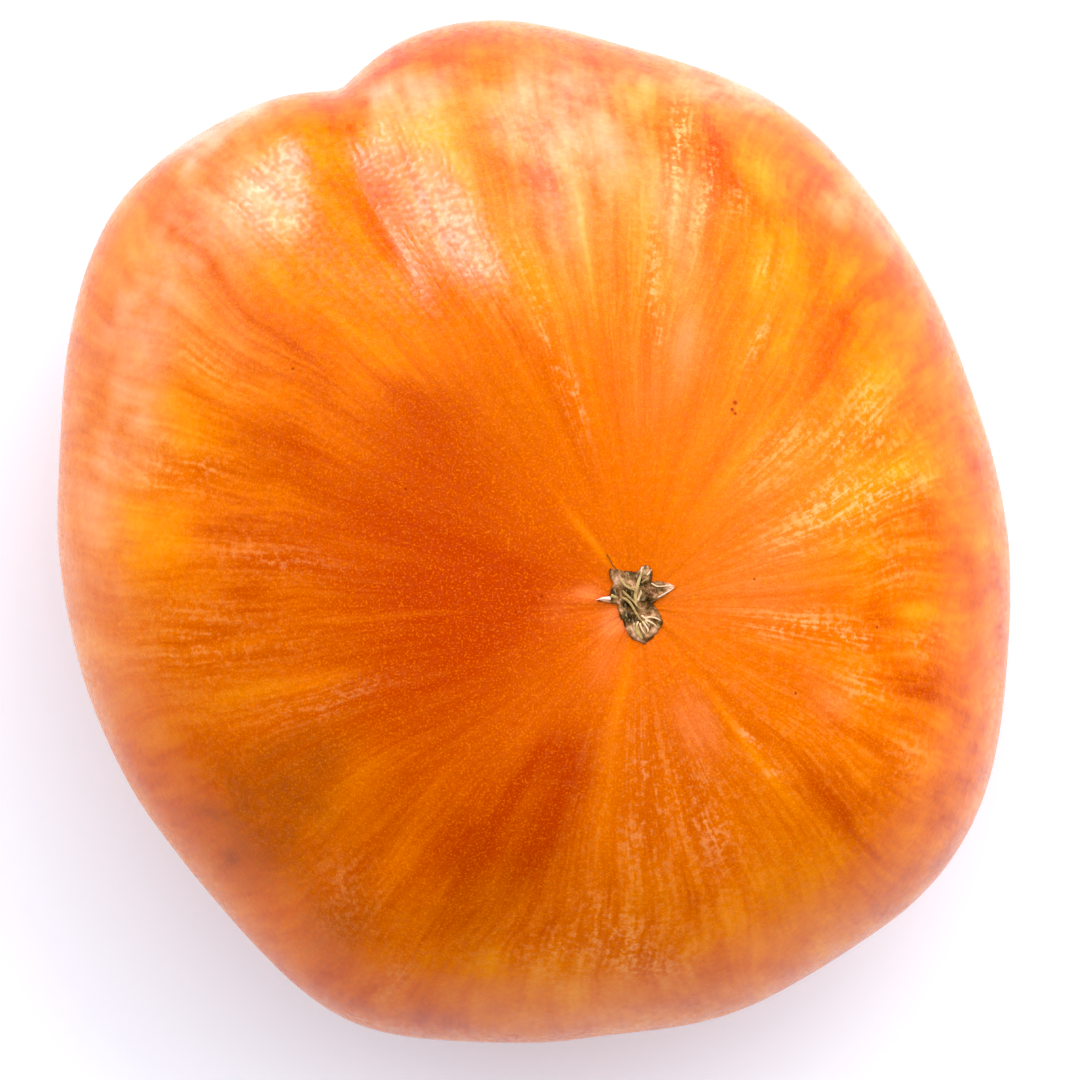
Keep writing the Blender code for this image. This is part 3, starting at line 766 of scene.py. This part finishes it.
strands = {
    "sides": 8,
    "step": 0.10 * mm,
    "smooth": 3,  # steps on either side that a strand's height is averaged over
    "mottle": (2400.0, 3.0, 0.6),  # scale, detail and roughness
    "mottling": 0.5,  # how far the mottle moves the tone
    "tones": (
        (0.0, (0.020, 0.014, 0.008)), (0.3, (0.12, 0.078, 0.024)), (0.5, (0.30, 0.195, 0.060)),
        (0.68, (0.50, 0.35, 0.13)), (0.82, (0.72, 0.54, 0.30)), (1.0, (0.90, 0.64, 0.54)),
    ),
    "roughness": (0.3, 0.7, 0.5, 0.8),
    "specular": 0.3,
    "bump": (0.5, 0.04 * mm),
    # each path: start radius, end radius and height above what it lies on, in mm, how pale and how flat it
    # is, and its corners in mm from the flower's middle
    "paths": (
        (0.19, 0.17, 0.10, 0.66, 1.0, (
            (-0.04, -0.08), (-0.18, 0.38), (-0.15, 0.92), (0.0, 1.61), (0.23, 2.38), (0.42, 2.77))),
        (0.11, 0.06, 0.10, 0.70, 1.0, ((0.23, 2.38), (0.42, 3.0), (0.65, 3.54))),
        (0.11, 0.05, 0.10, 0.55, 1.0, ((0.35, 2.61), (0.81, 2.85), (1.11, 2.69), (1.38, 3.23))),
        (0.12, 0.08, 0.06, 0.52, 1.0, ((0.42, 1.92), (0.81, 2.23), (1.19, 2.31))),
        (0.14, 0.08, 0.05, 0.85, 0.7, ((0.0, 0.08), (0.19, 0.54), (0.38, 0.92), (0.35, 1.23))),
        (0.16, 0.09, 0.08, 0.62, 1.0, (
            (-1.81, 2.46), (-1.54, 2.04), (-1.19, 1.69), (-0.73, 1.38), (-0.35, 1.23), (-0.18, 1.0))),
        (0.11, 0.07, 0.06, 0.50, 1.0, ((-1.11, 2.77), (-1.11, 2.08), (-0.81, 1.61), (-0.5, 1.31))),
        (0.14, 0.11, 0.10, 0.58, 1.0, (
            (-1.5, 1.19), (-1.19, 0.85), (-0.81, 0.5), (-0.35, 0.08), (0.0, -0.38), (0.35, -0.73))),
        (0.16, 0.11, 0.10, 0.58, 1.0, (
            (-1.58, 0.46), (-1.11, 0.27), (-0.73, -0.08), (-0.42, -0.54),
             (-0.12, -1.08), (0.27, -1.69), (0.58, -1.92))),
        (0.13, 0.07, 0.12, 0.84, 1.0, (
            (0.42, -1.31), (0.81, -1.61), (1.19, -1.5), (1.81, -1.58), (2.35, -1.85))),
        (0.13, 0.07, 0.12, 0.82, 1.0, ((0.81, -1.77), (1.35, -2.0), (1.81, -2.31), (1.96, -2.54))),
        (0.09, 0.06, 0.10, 0.76, 1.0, ((0.73, -1.85), (1.04, -2.15), (1.27, -2.46))),
        (0.13, 0.07, 0.12, 0.84, 1.0, ((0.5, -1.92), (0.81, -2.31), (1.08, -2.77), (1.04, -3.08))),
        (0.12, 0.06, 0.12, 0.80, 1.0, ((0.27, -2.08), (0.35, -2.46), (0.58, -2.92), (0.81, -3.15))),
        (0.12, 0.06, 0.12, 0.78, 1.0, ((0.12, -1.92), (-0.04, -2.31), (-0.08, -2.69))),
        (0.11, 0.06, 0.10, 0.66, 1.0, ((-0.31, -2.08), (-0.35, -2.54), (-0.19, -3.0))),
        (0.30, 0.20, 0.05, 0.60, 0.5, ((-0.15, -2.61), (0.12, -3.15), (0.5, -3.69))),
        (0.08, 0.06, 0.12, 0.84, 1.0, ((1.42, 1.92), (1.96, 1.61), (2.58, 1.61), (3.73, 1.69))),
        (0.07, 0.06, 0.12, 0.88, 1.0, ((2.04, 0.46), (2.73, 0.85), (3.5, 1.31), (3.73, 1.61))),
        (0.22, 0.04, 0.03, 1.05, 0.7, ((-2.65, 0.38), (-3.42, 0.38), (-4.19, 0.19))),
        (0.22, 0.14, 0.04, 0.60, 0.5, ((-2.65, 0.69), (-2.27, 0.54), (-1.88, 0.38))),
        (0.05, 0.03, 0.25, 0.10, 1.0, (
            (-3.11, 4.85), (-2.81, 4.38), (-2.5, 3.77), (-2.11, 3.31), (-1.88, 2.92))),
        (0.08, 0.06, 0.10, 0.95, 1.0, ((0.42, 2.85), (0.42, 3.38), (0.65, 3.61))),
        (0.08, 0.06, 0.10, 0.92, 1.0, ((0.96, 2.69), (1.35, 3.15), (1.42, 3.31))),
    ),
}


def smoothPath(corners, step):
    spots = [2 * corners[0] - corners[1], *corners, 2 * corners[-1] - corners[-2]]
    path = []
    for a, b, c, d in zip(spots, spots[1:], spots[2:], spots[3:]):
        count = max(2, round((c - b).length / step))
        for index in range(count):
            t = index / count
            bend = t * t * (2 * a - 5 * b + 4 * c - d) + t ** 3 * (3 * b - a - 3 * c + d)
            path.append(0.5 * (2 * b + t * (c - a) + bend))
    return path + [corners[-1]]


def taper(share):
    blunt = max(0.02, 1 - max(0, share * 1.1 - 0.1) ** 6)  # rounds the far end
    return math.sqrt(blunt) * math.sqrt(min(1, 0.3 + share * 8))  # and narrows the near one


def addStrand(mesh, pale, path, startRadius, endRadius, paleness, flatness):
    ring = bmesh.ops.create_circle(mesh, cap_ends=False, radius=1, segments=strands["sides"])["verts"]
    corners = [vert.co.copy() for vert in ring]
    edges = list({edge for vert in ring for edge in vert.link_edges})
    first = list(edges)
    for index, point in enumerate(path):
        if index:
            grown = bmesh.ops.extrude_edge_only(mesh, edges=edges)["geom"]
            edges = [item for item in grown if isinstance(item, bmesh.types.BMEdge)]
            ring = [item for item in grown if isinstance(item, bmesh.types.BMVert)]
        share = index / (len(path) - 1)
        radius = (startRadius + (endRadius - startRadius) * share) * taper(share)
        tangent = path[min(index + 1, len(path) - 1)] - path[max(index - 1, 0)]
        side = tangent.cross(up).normalized()
        over = side.cross(tangent).normalized()
        for vert, corner in zip(ring, corners):
            vert.co = point + side * corner.x * radius + over * corner.y * radius * flatness
            vert[pale] = paleness
    bmesh.ops.holes_fill(mesh, edges=first + edges, sides=strands["sides"])


def makeStrands():
    mesh = bmesh.new()
    pale = mesh.verts.layers.float.new("pale")
    for start, end, lift, paleness, flatness, corners in strands["paths"]:
        spots = []
        for x, y in corners:
            plan = flowerCentre + Vector((x, y)) * mm
            spots.append(Vector((plan.x, plan.y, 0)))
        path = smoothPath(spots, strands["step"])
        for point in path:
            above = Vector((point.x, point.y, skin["rayStart"]))
            hit = flowerTree.ray_cast(above, -up)[0] or onSkin(point.x, point.y)
            point.z = hit.z
        heights = [point.z for point in path]
        for index, point in enumerate(path):
            nearby = heights[max(0, index - strands["smooth"]):index + strands["smooth"] + 1]
            point.z = sum(nearby) / len(nearby) + lift * mm
        addStrand(mesh, pale, path, start * mm, end * mm, paleness, flatness)
    return toObject(mesh, "flower_veins")


def flowerVeins():
    look, tree, shader = newLook("flowerVeins")
    place = add(tree, "ShaderNodeTexCoord").outputs["Object"]
    mottle = noisy(tree, place, *strands["mottle"])
    pale = sums(tree, "ADD", painted(tree, "pale"), swing(tree, mottle, strands["mottling"]))
    colour = ramp(tree, pale, strands["tones"])
    roughness = between(tree, mottle, *strands["roughness"])
    coat(tree, shader, colour, roughness, strands["specular"], bumped(tree, mottle, *strands["bump"]))
    return look


finished(makeStrands(), flowerVeins(), "dried_flower")


# the corky scar in the stem cavity, where the stalk came away

cork = {
    "radius": 6.2 * mm,
    "waves": ((5, 0.4 * mm), (11, 0.15 * mm)),
    "around": 180,
    "along": 60,
    "rise": 1.35 * mm,
    "sink": 0.2 * mm,
    "ring": (0.36, 0.10, 0.75 * mm),  # share of the way out, width and height
    "pit": (0.20, 0.8 * mm),
    "smoothMiddle": (0.05, 0.4),  # shares of the way out between which the wrinkles set in
    "leastRise": 0.1 * mm,
    "wrinkles": ((2.2 * mm, 0.35 * mm), (0.8 * mm, 0.16 * mm)),  # size and height
    "wrinkleSlice": 1,
    "squareness": 6,  # how steep the edge is
    "broad": (320.0, 4.0, 0.6),  # scale, detail and roughness
    "crumb": (2600.0, 3.0, 0.65),
    "crackScale": 620.0,
    "tones": (
        (0.30, (0.13, 0.070, 0.028)), (0.45, (0.26, 0.155, 0.070)), (0.58, (0.40, 0.27, 0.13)),
        (0.72, (0.55, 0.42, 0.22)),
    ),
    "layers": (  # pattern, where its edge starts and ends, its strength at each, and its colour
        ("cracks", 0.02, 0.10, 0.7, 0.0, (0.06, 0.032, 0.014, 1)),
        ("crumb", 0.50, 0.72, 0.0, 0.5, (0.62, 0.50, 0.30, 1)),
        ("rim", 0.86, 1.0, 0.0, 0.7, (0.36, 0.30, 0.07, 1)),
    ),
    "roughness": (0.3, 0.7, 0.72, 0.95),
    "specular": 0.25,
    "crackEdge": (0.0, 0.14),  # how wide a crack's slope is
    "crackBump": (0.7, 0.12 * mm),  # strength and height
    "crumbBump": (0.6, 0.08 * mm),
}


def corkRadius(turn, share):
    return cork["radius"] + sum(height * math.cos(count * turn) for count, height in cork["waves"])


def corkRise(plan, share):
    middle, width, height = cork["ring"]
    rise = cork["rise"] + height * math.exp(-(((share - middle) / width) ** 2))
    width, depth = cork["pit"]
    rise -= depth * math.exp(-((share / width) ** 2))
    shown = fade(share, *cork["smoothMiddle"])
    for size, height in cork["wrinkles"]:
        rise += height * noise.noise(Vector((plan.x / size, plan.y / size, cork["wrinkleSlice"]))) * shown
    return max(cork["leastRise"], rise) * math.sqrt(max(0, 1 - share ** cork["squareness"]))


def corkScar():
    look, tree, shader = newLook("corkScar")
    place = add(tree, "ShaderNodeTexCoord").outputs["Object"]
    cells = {"Vector": place, "Scale": cork["crackScale"]}
    cracks = add(tree, "ShaderNodeTexVoronoi", cells, feature="DISTANCE_TO_EDGE").outputs[0]
    crumb = noisy(tree, place, *cork["crumb"])
    patterns = {"cracks": cracks, "crumb": crumb, "rim": painted(tree, "share")}
    colour = ramp(tree, noisy(tree, place, *cork["broad"]), cork["tones"])
    colour = layered(tree, colour, patterns, cork["layers"])
    roughness = between(tree, crumb, *cork["roughness"])
    split = bumped(tree, between(tree, cracks, *cork["crackEdge"]), *cork["crackBump"])
    coat(tree, shader, colour, roughness, cork["specular"], bumped(tree, crumb, *cork["crumbBump"], split))
    return look


corkPiece = seatedCrust("cork_scar", skin["stemEnd"], -1, cork, corkRadius, corkRise)[0]
finished(corkPiece, corkScar(), "cork", "stem_scar")


# floor, lights and camera

studio = {
    "floors": (  # name, half width, height, shows in reflections
        ("paper_floor", 0.22, 0.0, True), ("wide_floor", 4.0, -0.2 * mm, False),
    ),
    "floorColour": (0.84, 0.895, 0.98, 1),
    "floorPatch": (0.85, 0.90, 0.985, 1),
    "floorNoise": (9.0, 2.0, 0.5),  # scale, detail and roughness
    "floorRoughness": 0.9,
    "floorSpecular": 0.1,
    "floorGlow": 0.065,
    "skyColour": (1.0, 0.985, 0.97, 1),
    "skySide": (-0.17, 0.985, 0.0),  # the sky's light comes from this side
    "skyEdge": (0.02, 0.45),
    "skyStrength": 1.45,
    "skyInGloss": 0.10,  # share of the sky that reflections show
    "fillColour": (0.95, 0.91, 1.0, 1),
    "fillStrength": 0.43,
    "backdropColour": (0.97, 0.96, 0.97, 1),
    "aim": Vector((0, 0, 0.03)),
    "panels": (
        # name, azimuth, elevation, distance, width, height, radiance, colour, seen only in reflections
        ("window", 123.2, 8, 1.6, 0.30, 0.83, 46.0, (1.0, 0.97, 1.0), True),
        ("doorway", 82, 6, 1.6, 0.34, 0.40, 13.0, (1.0, 0.95, 1.0), True),
        ("side", 42, 32, 2.0, 2.5, 2.5, 1.75, (1.0, 0.985, 0.97), False),
        ("overhead", 0, 90, 2.0, 3.0, 3.0, 0.8, (1.0, 0.99, 0.98), False),
    ),
    "blackLevel": 0.006,
    "whiteLevel": 1.015,
    "cameraPlace": (0.63 * mm, -0.95 * mm, 0.93),
    "viewWidth": 113.4 * mm,  # what the picture shows across, at the level below
    "viewLevel": 0.03,
    "sensor": 36,
    "clip": (0.05, 20),
}


def makeFloors():
    look, tree, shader = newLook("paperFloor")
    place = add(tree, "ShaderNodeTexCoord").outputs["Object"]
    tone = noisy(tree, place, *studio["floorNoise"])
    colour = blend(tree, between(tree, tone, 0.3, 0.7), studio["floorColour"], studio["floorPatch"])
    plug(tree, shader.inputs["Base Color"], colour)
    plug(tree, shader.inputs["Roughness"], studio["floorRoughness"])
    plug(tree, shader.inputs["Emission Color"], studio["floorColour"])
    plug(tree, shader.inputs["Emission Strength"], studio["floorGlow"])
    plug(tree, shader.inputs["Specular IOR Level"], studio["floorSpecular"])
    for name, half, height, reflected in studio["floors"]:
        mesh = bmesh.new()
        bmesh.ops.create_grid(mesh, x_segments=2, y_segments=2, size=half)
        bmesh.ops.translate(mesh, verts=mesh.verts, vec=up * height)
        floor = toObject(mesh, name)
        floor.data.materials.append(look)
        floor.visible_glossy = reflected


def makePanel(name, azimuth, elevation, distance, width, height, radiance, colour, glossOnly):
    light = bpy.data.lights.new(name, "AREA")
    light.shape = "RECTANGLE"
    light.size = width
    light.size_y = height
    light.energy = radiance * math.pi * width * height
    light.color = colour
    panel = bpy.data.objects.new(name, light)
    a, e = math.radians(azimuth), math.radians(elevation)
    toward = Vector((math.cos(a) * math.cos(e), math.sin(a) * math.cos(e), math.sin(e)))
    panel.location = studio["aim"] + toward * distance
    panel.rotation_euler = toward.to_track_quat("Z", "Y").to_euler()
    panel.visible_camera = False
    panel.visible_glossy = glossOnly
    panel.visible_diffuse = not glossOnly
    scene.collection.objects.link(panel)


def makeWorld():
    world = bpy.data.worlds.new("studioWorld")
    scene.world = world
    world.use_nodes = True
    tree = world.node_tree
    tree.nodes.clear()
    toward = add(tree, "ShaderNodeTexCoord").outputs["Generated"]
    side = add(tree, "ShaderNodeVectorMath", {0: toward, 1: studio["skySide"]}, operation="DOT_PRODUCT")
    strength = between(tree, side.outputs[1], *studio["skyEdge"], 0.0, studio["skyStrength"])
    path = add(tree, "ShaderNodeLightPath")
    dimmed = between(tree, path.outputs["Is Glossy Ray"], 0, 1, 1.0, studio["skyInGloss"])
    strength = sums(tree, "MULTIPLY", strength, dimmed)
    fillStrength = sums(tree, "MULTIPLY", dimmed, studio["fillStrength"])
    sky = add(tree, "ShaderNodeBackground", {"Color": studio["skyColour"], "Strength": strength})
    fill = add(tree, "ShaderNodeBackground", {"Color": studio["fillColour"], "Strength": fillStrength})
    light = add(tree, "ShaderNodeAddShader", {0: sky.outputs[0], 1: fill.outputs[0]})
    backdrop = add(tree, "ShaderNodeBackground", {"Color": studio["backdropColour"], "Strength": 1.0})
    shown = {0: path.outputs["Is Camera Ray"], 1: light.outputs[0], 2: backdrop.outputs[0]}
    mixed = add(tree, "ShaderNodeMixShader", shown)
    add(tree, "ShaderNodeOutputWorld", {"Surface": mixed.outputs[0]})


def makeCamera():
    lens = bpy.data.cameras.new("photoCamera")
    x, y, z = studio["cameraPlace"]
    lens.sensor_width = studio["sensor"]
    lens.lens = lens.sensor_width * (z - studio["viewLevel"]) / studio["viewWidth"]
    lens.clip_start, lens.clip_end = studio["clip"]
    camera = bpy.data.objects.new("photoCamera", lens)
    camera.location = (x, y, z)
    scene.collection.objects.link(camera)
    scene.camera = camera


def setView():
    view = scene.view_settings
    view.view_transform = "Standard"
    view.use_curve_mapping = True
    black, white = studio["blackLevel"], studio["whiteLevel"]
    view.curve_mapping.black_level = (black, black, black)
    view.curve_mapping.white_level = (white, white, white)
    view.curve_mapping.update()


makeFloors()
for panel in studio["panels"]:
    makePanel(*panel)
makeWorld()
makeCamera()
setView()
print("studio ready")
